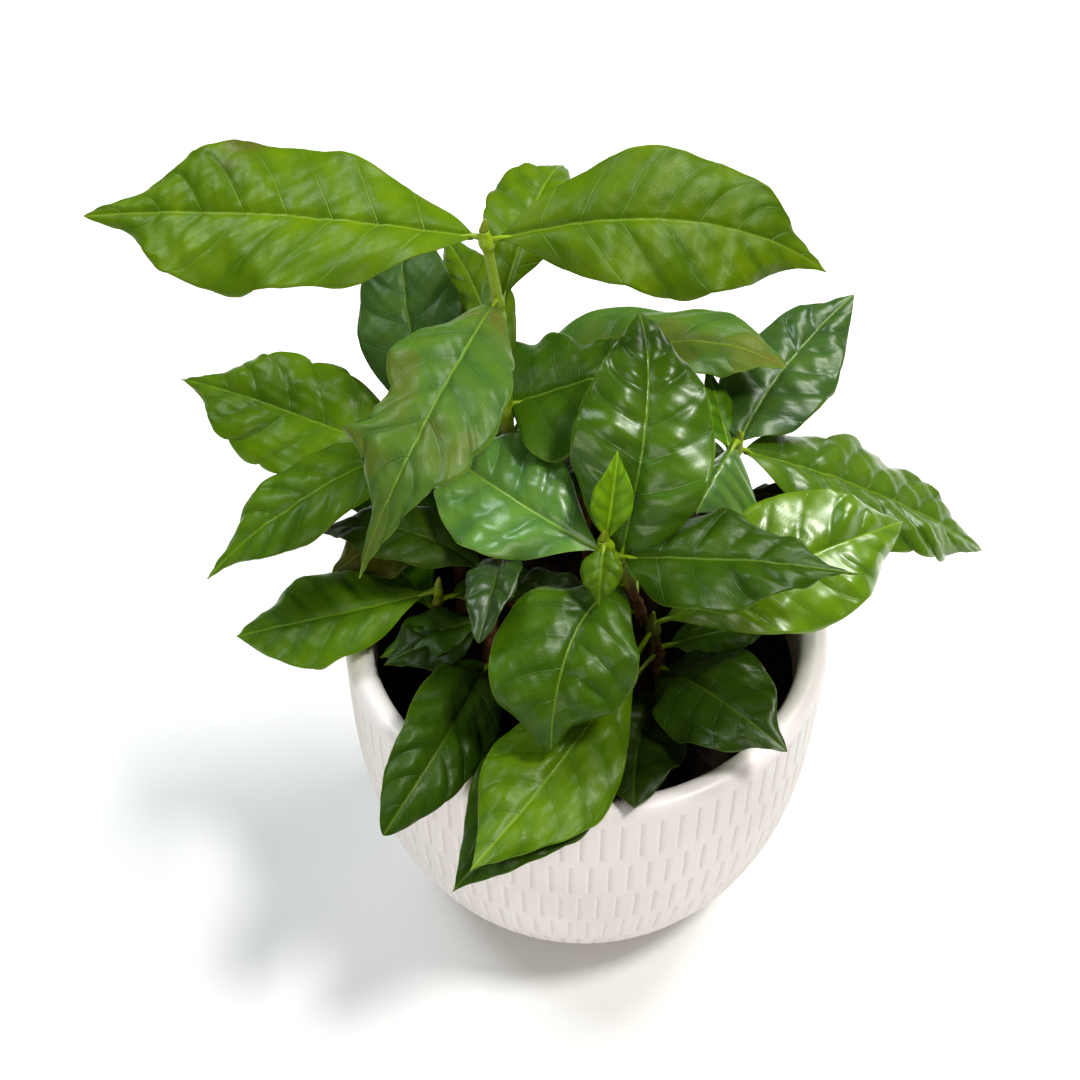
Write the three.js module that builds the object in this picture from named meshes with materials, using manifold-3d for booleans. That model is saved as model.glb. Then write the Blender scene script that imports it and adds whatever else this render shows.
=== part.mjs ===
// Potted arabica coffee plant: a clump of young seedlings in a round ceramic planter filled with soil.
// Units are millimetres and degrees. +Z is up, and the origin is the centre of the planter's flat underside.
// The viewer of the reference picture stands on the -Y side, with +X to the right.

import * as THREE from 'three';
import { mergeVertices } from 'three/addons/utils/BufferGeometryUtils.js';
import Module from 'manifold-3d';

const wasm = await Module();
wasm.setup();

// Planter
const POT_HEIGHT = 104;
const POT_RADIUS = 70;
const FOOT_RADIUS = 41.5;
const WALL = 8;
const FLOOR = 9;
const LIP_RADIUS = WALL / 2;
const BELLY_POWER = 3.53;
const SHOULDER_POWER = 1.35;
const POT_SEGMENTS = 48;
const POT_STEPS = 8;
const LIP_STEPS = 6;

// Soil
const SOIL_LEVEL = 82;
const GAP = 0.3;

// Stems
const STEM_SIDES = 8;
const STEM_STEPS = 8;
const FOOT_FLARE = 1.1;
const FLARE_HEIGHT = 7;

// Leaves
const LEAF_STEPS = 10;
const LEAF_THICKNESS = 1.15;
const PETIOLE_LENGTH = 7;
const PETIOLE_WIDTH = 1.7;
const BEND_POWER = 1.2;
const FOLD = 0.18;
const DROOP = 0.25;
const MARGIN_WAVE = 0.05;
const WAVES = 3;
const FULLNESS = 0.9;
const SHARPNESS = 1.25;

const COLORS = {
  glaze: 0xf0ebe4,
  soil: 0x2a1f18,
  bark: 0x5b4029,
  young: 0x6f9f1c,
  fresh: 0x3f7f22,
  deep: 0x24562a,
};

const radians = THREE.MathUtils.degToRad;
const clamp = THREE.MathUtils.clamp;

// One leaf: where it leaves its stem, which way it points, how far it arches, and how large it is.
// azimuth is measured from +X towards +Y; rise is the slope at the stem and bend is how much of it is lost
// by the tip; sway turns the azimuth on the way; roll and twist turn the blade about its midrib. A blade is
// widest nearer its stalk for a lower full, and runs out thinner at both ends for a higher sharp.
function leaf(height, azimuth, rise, bend, length, width, extra = {}) {
  return {
    height,
    azimuth,
    rise,
    bend,
    length,
    width,
    sway: 0,
    roll: 0,
    twist: 0,
    fold: FOLD,
    petiole: PETIOLE_LENGTH,
    full: FULLNESS,
    sharp: SHARPNESS,
    ...extra,
  };
}

// Each seedling: its foot on the soil, its tip, how late it leans, where its bare stem ends, and its leaves.
const SHOOTS = [
  {
    name: 'tall',
    color: COLORS.young,
    foot: [-22, 25],
    tip: [-27.5, 30.5],
    top: 219,
    lean: 5,
    bare: 146,
    footRadius: 2.3,
    tipRadius: 1.3,
    leaves: [
      leaf(217, 166, -1, 17, 109, 45, { roll: -10, sway: -3, twist: -25, sharp: 1.4 }),
      leaf(216, 0, 18, 65, 89, 40, { roll: 20, sway: 10, twist: 23 }),
      leaf(199, 261, 27, 91, 92, 32, { roll: -15, sway: -29, twist: 32, full: 1, sharp: 1.35 }),
      leaf(194, 72, 37, 74, 58, 27, { roll: 2, sway: 3, twist: 5, full: 1.05, sharp: 1.35 }),
      leaf(161, 99, 17, 32, 67, 19, { roll: -16, sway: 14, twist: -5, full: 1.05, sharp: 0.95 }),
      leaf(149, 64, 17, 19, 80, 39, { roll: -4, sway: -110, petiole: 14, full: 0.82, sharp: 0.75 }),
      leaf(163, 8, 19, 38, 46, 45, { roll: 3, sway: 20, twist: -4, petiole: 2, full: 0.45, sharp: 0.6 }),
    ],
  },
  {
    name: 'centre',
    color: COLORS.fresh,
    foot: [19, -13],
    tip: [3, -18],
    top: 156,
    lean: 2,
    bare: 121,
    footRadius: 2.1,
    tipRadius: 1.3,
    leaves: [
      leaf(154, 70, 70, 17, 24, 11, { roll: 11, sway: 12, twist: 7, fold: 0.5, petiole: 2 }),
      leaf(155, 264, 8, 90, 17, 11, { petiole: 2 }),
      leaf(148, 158, 17, 52, 63, 37, { roll: -19, sway: -47, twist: -10, full: 1 }),
      leaf(148, 342, 20, 33, 58, 35, { roll: 8, sway: 16, twist: -17, full: 0.7 }),
      leaf(144, 60, 72, 75, 67, 38, { roll: -5, sway: 42, twist: 17, full: 0.8, sharp: 0.9 }),
      leaf(137, 229, 27, 117, 55, 39, { roll: 4, sway: 38, twist: -28, full: 1.1, sharp: 0.8 }),
      leaf(128, 84, 25, 40, 32, 22),
      leaf(124, 214, 12, 40, 20, 15),
    ],
  },
  {
    name: 'front',
    color: COLORS.fresh,
    foot: [24, -21],
    tip: [17.5, -16.2],
    top: 121,
    lean: 1,
    bare: 88,
    footRadius: 2.1,
    tipRadius: 1.3,
    leaves: [
      leaf(119, 355, 42, 74, 78, 39, { roll: 19, sway: 51, twist: 16, full: 1.05, sharp: 1.15 }),
      leaf(118, 239, -11, -8, 80, 35, { roll: -11, sway: -8, twist: 6, full: 1.3 }),
      leaf(109, 236, 5, 31, 73, 34, { roll: -8, sway: -10, twist: 3, petiole: 18, full: 1.2 }),
      leaf(103, 294, 42, 57, 49, 32, { roll: 18, sway: 26, twist: -6, sharp: 0.8 }),
      leaf(97, 247, 17, 10, 46, 26, { roll: 5, sway: 24, twist: -1, full: 1, sharp: 0.9 }),
      leaf(110, 16, 10, 30, 28, 18),
    ],
  },
  {
    name: 'small',
    color: COLORS.deep,
    foot: [-29, -12],
    tip: [-24.5, -7.5],
    top: 139,
    lean: 1.3,
    bare: 93,
    footRadius: 1.8,
    tipRadius: 1.2,
    leaves: [
      leaf(95, 265, 40, 68, 71, 26, { roll: -34, sway: -32, twist: -2, sharp: 0.65 }),
      leaf(130, 152, 25, 70, 52, 23, { sway: 12 }),
      leaf(138, 271, 37, 64, 31, 15, { roll: 10, sway: -17, twist: 9, full: 0.7, sharp: 0.65 }),
      leaf(121, 18, 3, 40, 26, 18),
      leaf(114, 195, 5, 40, 27, 18),
      leaf(111, 203, 14, 40, 26, 20),
    ],
  },
  {
    name: 'low_left',
    color: COLORS.fresh,
    foot: [-44, 0],
    tip: [-42, -2],
    top: 119,
    lean: 1,
    bare: 99,
    footRadius: 1.7,
    tipRadius: 1.1,
    leaves: [
      leaf(117, 197, -3, 28, 55, 30, { roll: -7, sway: -28, twist: -10, full: 1.05, sharp: 1.05 }),
      leaf(112, 20, 10, 30, 26, 15),
      leaf(105, 130, 24, 60, 32, 22),
    ],
  },
  {
    name: 'right',
    color: COLORS.fresh,
    foot: [31, 20],
    tip: [42, 25],
    top: 150,
    lean: 0.8,
    bare: 103,
    footRadius: 2,
    tipRadius: 1.2,
    leaves: [
      leaf(147, 66, 6, -2, 62, 32, { roll: -5, sway: -22, twist: 16, full: 0.75, sharp: 0.9 }),
      leaf(147, 8, -26, 21, 95, 36, { roll: 4, sway: 3, twist: 10, sharp: 0.75 }),
      leaf(150, 248, 22, 60, 24, 30, { sway: -10, fold: -0.9 }),
      leaf(143, 108, 37, 15, 23, 14, { roll: 19, sway: -4, twist: 16, petiole: 5, full: 0.8 }),
      leaf(108, 25, 12, 55, 50, 28),
      leaf(128, 8, 0, 10, 30, 8),
      leaf(114, 100, 14, 55, 46, 26),
    ],
  },
  {
    name: 'left',
    color: COLORS.fresh,
    foot: [-36, 22],
    tip: [-41.5, 30],
    top: 153,
    lean: 0.8,
    bare: 106,
    footRadius: 2,
    tipRadius: 1.2,
    leaves: [
      leaf(133, 170, 22, 49, 87, 37, { roll: -16, sway: -32, twist: -13 }),
      leaf(149, 210, 0, 51, 74, 26, { roll: 4, sway: -13, twist: -19, full: 1, sharp: 1.35 }),
      leaf(148, 117, 36, 18, 64, 31, { roll: -21, sway: -33, twist: 2, sharp: 0.9 }),
      leaf(118, 206, 5, 40, 34, 26),
      leaf(122, 88, 20, 60, 62, 32),
      leaf(112, 140, 12, 60, 58, 30),
    ],
  },
  {
    name: 'back',
    color: COLORS.deep,
    foot: [2, 36],
    tip: [-3, 42],
    top: 134,
    lean: 1,
    bare: 97,
    footRadius: 1.9,
    tipRadius: 1.2,
    leaves: [
      leaf(132, 80, 8, 58, 60, 32),
      leaf(132, 262, 40, 45, 40, 26),
      leaf(124, 345, 14, 52, 42, 28),
      leaf(118, 160, 14, 55, 46, 28),
      leaf(102, 75, 26, 60, 48, 26),
    ],
  },
];

// Point of a seedling's axis at a height.
function stemPoint(shoot, height) {
  const climb = clamp((height - SOIL_LEVEL) / (shoot.top - SOIL_LEVEL), 0, 1) ** shoot.lean;
  const [footX, footY] = shoot.foot;
  const [tipX, tipY] = shoot.tip;
  return new THREE.Vector3(footX + (tipX - footX) * climb, footY + (tipY - footY) * climb, height);
}

// Radius of a seedling's stem at a height: an even taper, and a root flare just above the soil.
function stemRadius(shoot, height) {
  const climb = clamp((height - SOIL_LEVEL) / (shoot.top - SOIL_LEVEL), 0, 1);
  const flare = FOOT_FLARE * Math.max(0, 1 - (height - SOIL_LEVEL) / FLARE_HEIGHT) ** 2;
  return shoot.footRadius + (shoot.tipRadius - shoot.footRadius) * climb + flare;
}

// Closed skin over a row of rings that all have the same number of points.
function skin(rings) {
  const count = rings[0].length;
  const positions = rings.flat().flatMap((point) => point.toArray());
  const faces = [];
  for (let i = 0; i + 1 < rings.length; i += 1) {
    for (let j = 0; j < count; j += 1) {
      const a = i * count + j;
      const b = i * count + ((j + 1) % count);
      faces.push(a, b, b + count, a, b + count, a + count);
    }
  }
  const last = (rings.length - 1) * count;
  for (let j = 1; j + 1 < count; j += 1) {
    faces.push(0, j + 1, j, last, last + j, last + j + 1);
  }
  const geometry = new THREE.BufferGeometry();
  geometry.setAttribute('position', new THREE.Float32BufferAttribute(positions, 3));
  geometry.setIndex(faces);
  return geometry;
}

// Stretch of a seedling's stem between two heights, cut level at both ends.
function stemPiece(shoot, bottom, top) {
  const rings = [];
  for (let i = 0; i <= STEM_STEPS; i += 1) {
    const height = bottom + ((top - bottom) * i) / STEM_STEPS;
    const centre = stemPoint(shoot, height);
    const radius = stemRadius(shoot, height);
    const ring = [];
    for (let j = 0; j < STEM_SIDES; j += 1) {
      const turn = (2 * Math.PI * j) / STEM_SIDES;
      ring.push(new THREE.Vector3(Math.cos(turn), Math.sin(turn), 0).multiplyScalar(radius).add(centre));
    }
    rings.push(ring);
  }
  return skin(rings);
}

// Half width of a blade as a share of the widest, along its length from 0 to 1.
function outline(row, along) {
  return Math.sin(Math.PI * along ** row.full) ** row.sharp;
}

// A leaf with its petiole: six-sided rings across the midrib, from inside the stem to the tip.
function leafPiece(shoot, row) {
  const point = stemPoint(shoot, row.height);
  const total = row.petiole + row.length;
  const bladeStart = row.petiole / 2;
  const step = total / LEAF_STEPS;
  const rings = [];
  for (let i = 0; i <= LEAF_STEPS; i += 1) {
    const share = i / LEAF_STEPS;
    const slope = radians(row.rise - row.bend * share ** BEND_POWER);
    const heading = radians(row.azimuth + row.sway * share);
    const roll = radians(row.roll + row.twist * share);
    const along = new THREE.Vector3(
      Math.cos(heading) * Math.cos(slope),
      Math.sin(heading) * Math.cos(slope),
      Math.sin(slope),
    );
    const level = new THREE.Vector3(-Math.sin(heading), Math.cos(heading), 0);
    const upright = new THREE.Vector3().crossVectors(along, level);
    const side = level.clone().multiplyScalar(Math.cos(roll)).addScaledVector(upright, Math.sin(roll));
    const normal = upright.clone().multiplyScalar(Math.cos(roll)).addScaledVector(level, -Math.sin(roll));
    const blade = (share * total - bladeStart) / (total - bladeStart);
    const halfWidth = blade > 0 && blade < 1 ? (row.width / 2) * outline(row, blade) : 0;
    const half = Math.max(halfWidth, i === LEAF_STEPS ? 0.35 : PETIOLE_WIDTH / 2);
    const place = (across, lift) => point.clone()
      .addScaledVector(side, across * half)
      .addScaledVector(normal, lift);
    const ruffle = Math.min(1, halfWidth / (0.25 * row.width)) * row.width * MARGIN_WAVE;
    const edgeLift = (phase) => halfWidth * (row.fold - DROOP)
      + ruffle * Math.sin(2 * Math.PI * WAVES * blade + phase);
    const left = edgeLift(0);
    const right = edgeLift(1.7);
    rings.push([
      place(1, left + LEAF_THICKNESS / 2),
      place(0, LEAF_THICKNESS / 2),
      place(-1, right + LEAF_THICKNESS / 2),
      place(-1, right - LEAF_THICKNESS / 2),
      place(0, -LEAF_THICKNESS / 2),
      place(1, left - LEAF_THICKNESS / 2),
    ]);
    point.addScaledVector(along, step);
  }
  return skin(rings);
}

function toManifold(geometry) {
  const bare = new THREE.BufferGeometry();
  bare.setAttribute('position', geometry.getAttribute('position'));
  bare.setIndex(geometry.getIndex());
  const merged = mergeVertices(bare, 1e-4);
  return new wasm.Manifold(new wasm.Mesh({
    numProp: 3,
    vertProperties: new Float32Array(merged.getAttribute('position').array),
    triVerts: new Uint32Array(merged.getIndex().array),
  }));
}

function toGeometry(solid) {
  const mesh = solid.getMesh();
  const geometry = new THREE.BufferGeometry();
  geometry.setAttribute('position', new THREE.Float32BufferAttribute(mesh.vertProperties, 3));
  geometry.setIndex(Array.from(mesh.triVerts));
  return geometry;
}

// The largest of the bodies of a solid, without loose scraps.
function largestBody(solid) {
  const bodies = solid.decompose();
  return bodies.reduce((best, body) => (body.volume() > best.volume() ? body : best));
}

function part(name, geometry, color, roughness) {
  geometry.computeVertexNormals();
  const mesh = new THREE.Mesh(geometry, new THREE.MeshStandardMaterial({ color, roughness, metalness: 0 }));
  mesh.name = name;
  return mesh;
}

// Outer radius of the planter at a height: a narrow foot, a round belly and a nearly upright shoulder.
function potRadius(height) {
  const rest = 1 - clamp(height / POT_HEIGHT, 0, 1);
  return FOOT_RADIUS + (POT_RADIUS - FOOT_RADIUS) * (1 - rest ** BELLY_POWER) ** (1 / SHOULDER_POWER);
}

function potPart() {
  const profile = [new THREE.Vector2(0, 0)];
  const lipBase = POT_HEIGHT - LIP_RADIUS;
  for (let i = 0; i <= POT_STEPS; i += 1) {
    const height = lipBase * (i / POT_STEPS) ** 1.4;
    profile.push(new THREE.Vector2(potRadius(height), height));
  }
  const lipCentre = potRadius(lipBase) - LIP_RADIUS;
  for (let i = 1; i <= LIP_STEPS; i += 1) {
    const turn = (Math.PI * i) / LIP_STEPS;
    profile.push(new THREE.Vector2(
      lipCentre + LIP_RADIUS * Math.cos(turn),
      lipBase + LIP_RADIUS * Math.sin(turn),
    ));
  }
  for (let i = 1; i <= POT_STEPS; i += 1) {
    const height = lipBase + (FLOOR - lipBase) * (i / POT_STEPS);
    profile.push(new THREE.Vector2(potRadius(height) - WALL, height));
  }
  profile.push(new THREE.Vector2(0, FLOOR));
  const lathe = new THREE.LatheGeometry(profile, POT_SEGMENTS);
  lathe.rotateX(Math.PI / 2);
  return part('pot', toGeometry(toManifold(lathe)), COLORS.glaze, 0.3);
}

function soilPart() {
  const profile = [new THREE.Vector2(0, FLOOR + GAP)];
  for (let i = 0; i <= POT_STEPS; i += 1) {
    const height = FLOOR + GAP + (SOIL_LEVEL - FLOOR - GAP) * (i / POT_STEPS);
    profile.push(new THREE.Vector2(potRadius(height) - WALL - 3 * GAP, height));
  }
  profile.push(new THREE.Vector2(0, SOIL_LEVEL));
  const lathe = new THREE.LatheGeometry(profile, POT_SEGMENTS);
  lathe.rotateX(Math.PI / 2);
  return part('soil', toGeometry(toManifold(lathe)), COLORS.soil, 1);
}

function stemPart(shoot) {
  const geometry = stemPiece(shoot, SOIL_LEVEL + GAP, shoot.bare);
  return part(`stem_${shoot.name}`, geometry, COLORS.bark, 0.85);
}

function foliagePart(shoot) {
  let solid = toManifold(stemPiece(shoot, shoot.bare + GAP, shoot.top));
  for (const row of shoot.leaves) {
    solid = solid.add(toManifold(leafPiece(shoot, row)));
  }
  return part(`foliage_${shoot.name}`, toGeometry(largestBody(solid)), shoot.color, 0.35);
}

const plant = new THREE.Group();
for (const shoot of SHOOTS) {
  plant.add(stemPart(shoot), foliagePart(shoot));
}

const group = new THREE.Group();
group.add(potPart(), soilPart(), plant);
export default group;
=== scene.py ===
import math
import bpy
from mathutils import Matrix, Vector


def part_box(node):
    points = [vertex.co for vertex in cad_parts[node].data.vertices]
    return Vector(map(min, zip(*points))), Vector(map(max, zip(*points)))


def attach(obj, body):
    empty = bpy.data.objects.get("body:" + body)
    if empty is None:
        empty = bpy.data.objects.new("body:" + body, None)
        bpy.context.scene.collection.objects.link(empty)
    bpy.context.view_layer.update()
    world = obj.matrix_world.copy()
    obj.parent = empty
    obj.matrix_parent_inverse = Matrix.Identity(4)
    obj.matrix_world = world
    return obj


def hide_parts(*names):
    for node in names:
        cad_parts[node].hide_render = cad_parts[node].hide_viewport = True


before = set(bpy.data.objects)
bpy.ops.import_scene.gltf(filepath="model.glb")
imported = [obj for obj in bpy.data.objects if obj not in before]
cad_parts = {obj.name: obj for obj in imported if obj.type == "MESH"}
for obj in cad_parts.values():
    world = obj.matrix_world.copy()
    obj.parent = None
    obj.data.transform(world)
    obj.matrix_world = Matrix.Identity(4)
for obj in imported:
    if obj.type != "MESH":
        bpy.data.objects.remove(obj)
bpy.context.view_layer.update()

from types import SimpleNamespace

import bpy
import numpy as np
from bpy.props import FloatProperty, FloatVectorProperty, IntProperty, PointerProperty
from mathutils import Vector, noise

bl_info = {
    "name": "Potted coffee plant",
    "version": (1, 0, 0),
    "blender": (4, 5, 0),
    "location": "View3D > Sidebar > Coffee plant",
    "description": "Builds a clump of coffee seedlings in a round ceramic planter",
    "category": "Add Mesh",
}

BODY = "root"
MM = 0.001
POT_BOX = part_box("pot")

# Planter, in millimetres, as in the part's source.
BELLY_POWER = 3.53
SHOULDER_POWER = 1.35
LIP_RADIUS = 4
FLOOR = 9
GAP = 0.3

# Planter, finer than in the source. The columns, the sides of a dash and the crest beside it, where a highlight is
# painted, are shares of the way from one dash to the next. A point is on the outer face down to OUTER_SKIN inside
# it, and on the inner wall, where shade is painted above the soil, not on the floor, from INNER_WALL out.
FOOT_RECESS = ((30, 1), (33, 1), (34.5, 0))
FOOT_LEVELS = (0.5, 1.2, 2.5, 5, 8)
LIP_STEPS = 12
OUTER_SKIN = 2
INNER_WALL = 40
FIRST_DASH = math.radians(-87.5)
DASH_COLUMNS = (0, 0.06, 0.13, 0.22, 0.32, 0.42, 0.5, 0.56, 0.63, 0.72, 0.82, 0.92)
DASH_INSETS = np.array([0, 0.45, 0.9, 1.5])
DASH_MIDDLES = np.array([0.35, 0.65])
DASH_END = 1.3
STEEP_SIDE = 0.08
GENTLE_SIDE = 0.32
CREST_PLACE = 0.1
CREST_WIDTH = 0.05
# How far under the lip the painted shade on the inner wall fades in.
WALL_SHADE_FADE = 2.5

# Soil, in millimetres. A lump wave is its fineness, its shift in the noise and its share.
SOIL_LEVEL = round(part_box("soil")[1][2] / MM, 3)
SOIL_SINK = 0.8
SOIL_COLUMNS = 150
LUMP_WAVES = ((0.11, 3.1, 1), (0.33, 7.7, 0.6), (1, 1.3, 0.35))
CRUMB_SEED = 11

# Stems and leaves, in millimetres, as in the part's source.
FOOT_FLARE = 1.1
FLARE_HEIGHT = 7
PETIOLE_LENGTH = 7
PETIOLE_WIDTH = 1.7
BEND_POWER = 1.2
FOLD = 0.18
DROOP = 0.25
MARGIN_WAVE = 0.05
MARGIN_FADE = 0.25
MARGIN_POWER = 2.5
MARGIN_LAG = 1.7
WAVES = 3
FULLNESS = 0.9
SHARPNESS = 1.25

# Stems, finer than in the source.
BARK_SIDES = 22
BARK_SPACING = 0.5
TWIG_SIDES = 16
TWIG_SPACING = 0.7
PETIOLE_SIDES = 10
PETIOLE_STEPS = 14
PETIOLE_RUN_ON = 8
PETIOLE_SINK = 3.5
GREEN_FADE = 14
BUD_STEPS = 7
BUD_REACH = (0.4, 0.2, 3.4)
BUD_RADIUS = 1.25

# Blades, finer than in the source: shares of a blade's length, or millimetres. BEND_DELAY lets the fine arch
# follow the source's coarser steps.
ARCH_STEPS = 400
BEND_DELAY = 1 / 48
DRIP_START = 0.73
DRIP_RUN = 0.17
VEIN_LEAN = 0.66
LONG_RIPPLES = (7, 9, 12, 16, 22, 30)
SHORT_RIPPLES = (3.4, 4.1, 5.2)
FULL_QUILTING = 14
FULL_RIPPLES = 11
GROOVE_DEPTH = 0.55
GROOVE_WIDTH = 0.9
RIB_DEPTH = 0.75
RIB_WIDTH = 0.8
TILE_SHARE = 0.9
TILE_RIM = 1.06

# Stage, in metres. A light is its name, its place, how wide it is and its colour.
FLOOR_SIZE = 12
LIGHTS = (
    ("key", (0.6, 0.55, 1.2), 0.6, (1.0, 0.99, 0.97)),
    ("window", (0.47, -0.19, 1.15), 0.22, (1.0, 0.99, 0.97)),
    ("sky", (-0.7, 0.38, 1.18), 0.6, (0.86, 0.94, 1.0)),
    ("fill", (-0.5, -0.95, 0.7), 0.7, (1.0, 0.96, 0.9)),
)
LIGHT_TARGET = (0, 0, 0.12)
CAMERA_PLACE = (-0.0133, -0.3321, 0.5047)
CAMERA_TILT = math.radians(42)
CAMERA_LENS = 60
CAMERA_SENSOR = 36


def paint(code):
    """Linear colour of a hexadecimal sRGB code."""
    levels = [int(code[i:i + 2], 16) / 255 for i in (0, 2, 4)]
    return tuple(c / 12.92 if c <= 0.04045 else ((c + 0.055) / 1.055) ** 2.4 for c in levels)


def length_property(name, description, default):
    return FloatProperty(name=name, description=description, default=default, unit="LENGTH", min=0, precision=4)


def power_property(name, description, default):
    return FloatProperty(name=name, description=description, default=default, min=0, unit="POWER")


def colour_property(name, description, code):
    return FloatVectorProperty(name=name, description=description, default=paint(code), subtype="COLOR",
                               min=0, max=1)


class PlanterSettings(bpy.types.PropertyGroup):
    """Sizes and glaze of the planter."""

    height: length_property("Height", "Height of the planter", POT_BOX[1][2])
    rim_radius: length_property("Rim radius", "Outer radius at the rim", POT_BOX[1][0])
    foot_radius: length_property("Foot radius", "Radius of the foot it stands on", 0.0415)
    wall: length_property("Wall", "Thickness of the wall", 0.008)
    dash_count: IntProperty(name="Dashes around", description="Pressed dashes in one row", default=80, min=3)
    dash_rows: IntProperty(name="Dash rows", description="Rows of pressed dashes", default=5, min=1)
    dash_top: length_property("Dash top", "Height at which the first row starts", 0.0965)
    dash_length: length_property("Dash length", "Length of a pressed dash", 0.0148)
    dash_pitch: length_property("Row pitch", "Height from one row to the next", 0.0168)
    dash_rise: length_property("First row rise", "How much higher the first row reaches, up to the lip", 0.003)
    dash_depth: length_property("Dash depth", "How deep the dashes are pressed", 0.0006)
    glaze: colour_property("Glaze", "Colour of the glaze", "e9e3e0")
    # The darker glaze colour gives the cloudy mottle and, darker still, the painted shade in the pressed dashes.
    glaze_mottle_and_painted_shade: colour_property("Glaze shade", "Colour of the glaze where it is thick", "ded6d2")
    # Painted shade: the wall inside the planter, above the soil, is tinted brown where shade falls.
    dust: colour_property("Painted inner shade", "Colour of the wall inside, above the soil", "a38a78")


class SoilSettings(bpy.types.PropertyGroup):
    """Surface of the soil."""

    roughness: length_property("Unevenness", "Height of the lumps", 0.0022)
    crumbs: IntProperty(name="Crumbs", description="Loose crumbs on the surface", default=620, min=0)
    dark: colour_property("Dark", "Colour of the wet soil", "1c130d")
    light: colour_property("Light", "Colour of the dry crumbs", "3a2a1d")


class StemSettings(bpy.types.PropertyGroup):
    """Bark of the stems and skin of the young wood."""

    ridge: length_property("Bark ridges", "Height of the ridges in the bark", 0.00016)
    node_swelling: length_property("Node swelling", "How far the stem swells where leaves leave it", 0.0005)
    bark: colour_property("Bark", "Colour of the woody stem", "6b4526")
    bark_dark: colour_property("Bark cracks", "Colour in the cracks of the bark", "2c1a10")
    green: colour_property("Young wood", "Colour of the young stem and petioles", "8aa41a")


class LeafSettings(bpy.types.PropertyGroup):
    """Shape of the blades and their colours."""

    thickness: length_property("Thickness", "Thickness of a blade", 0.00034)
    quilting: length_property("Quilting", "How far a blade bulges between its side veins", 0.0009)
    unevenness: length_property("Unevenness", "Height of the waves that cross a blade", 0.0007)
    cell: length_property("Mesh size", "Size of the faces of a blade", 0.0009)
    young: colour_property("Young leaves", "Colour of the leaves at the top", "62820c")
    fresh: colour_property("Fresh leaves", "Colour of the well lit leaves", "506f08")
    mid: colour_property("Grown leaves", "Colour of the grown leaves", "496910")
    deep: colour_property("Old leaves", "Colour of the low, shaded leaves", "3b5b0a")
    # A dark green with a painted bluish sheen in it, standing for the reflection of the sky.
    blue: colour_property("Bluish leaves", "Colour of the dark, bluish leaves", "446430")
    olive: colour_property("Olive leaves", "Colour of the ageing leaves", "4c5210")
    worn: colour_property("Worn leaves", "Colour of the greyish, worn leaves", "4a6a2a")
    dried: colour_property("Dried leaf", "Colour of the dried leaf", "33261a")
    under: colour_property("Underside", "Colour of the undersides", "7c9a2c")
    vein: colour_property("Veins", "Colour of the veins", "93ab34")
    scorch: colour_property("Scorch", "Colour of the brown spots", "605822")


class StageSettings(bpy.types.PropertyGroup):
    """Floor, lights and camera."""

    floor: colour_property("Floor", "Colour of the floor", "f6f6f4")
    key_power: power_property("Key light", "Power of the large light at the back right", 12)
    window_power: power_property("Window light", "Power of the small light that makes the highlights", 7)
    sky_power: power_property("Sky light", "Power of the bluish light from the back left", 8)
    fill_power: power_property("Fill light", "Power of the light from the front left", 4)
    ambient: FloatProperty(name="Ambient", description="Strength of the even light", default=0.07, min=0)


def leaf(height, azimuth, rise, bend, length, width, tint, **extra):
    """One leaf: where it leaves its stem, which way it points, how far it arches, how large it is, and its tint.

    sway, roll and twist turn it sideways and about its midrib, in degrees. Its outline follows full and sharp,
    and drip draws in its tip. quilt and lobes are how much it bulges between its side veins and at its margin.
    Its spots are brown patches: how far along, how far across, size and strength of each. Its bumps are places
    where one margin, 1 or -1, stands out or draws in: how far along, which margin, size and share of the width.
    """
    # A leaf's brightness mark is partly its own colour, partly painted light and shade for how it is lit.
    row = dict(height=height, azimuth=azimuth, rise=rise, bend=bend, length=length, width=width, tint=tint,
               sway=0, roll=0, twist=0, fold=FOLD, petiole=PETIOLE_LENGTH, full=FULLNESS, sharp=SHARPNESS,
               drip=0, quilt=1, lobes=0.015, tone=1, gloss=0.3, spots=(), bumps=())
    return SimpleNamespace(**{**row, **extra})


def shoot(name, foot, tip, top, lean, bare, foot_radius, tip_radius, green, leaves):
    """One seedling: its foot on the soil, its tip, how late it leans, and where it is bare and turns green."""
    return SimpleNamespace(name=name, foot=foot, tip=tip, top=top, lean=lean, bare=bare, foot_radius=foot_radius,
                           tip_radius=tip_radius, green=green, leaves=leaves)


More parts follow.
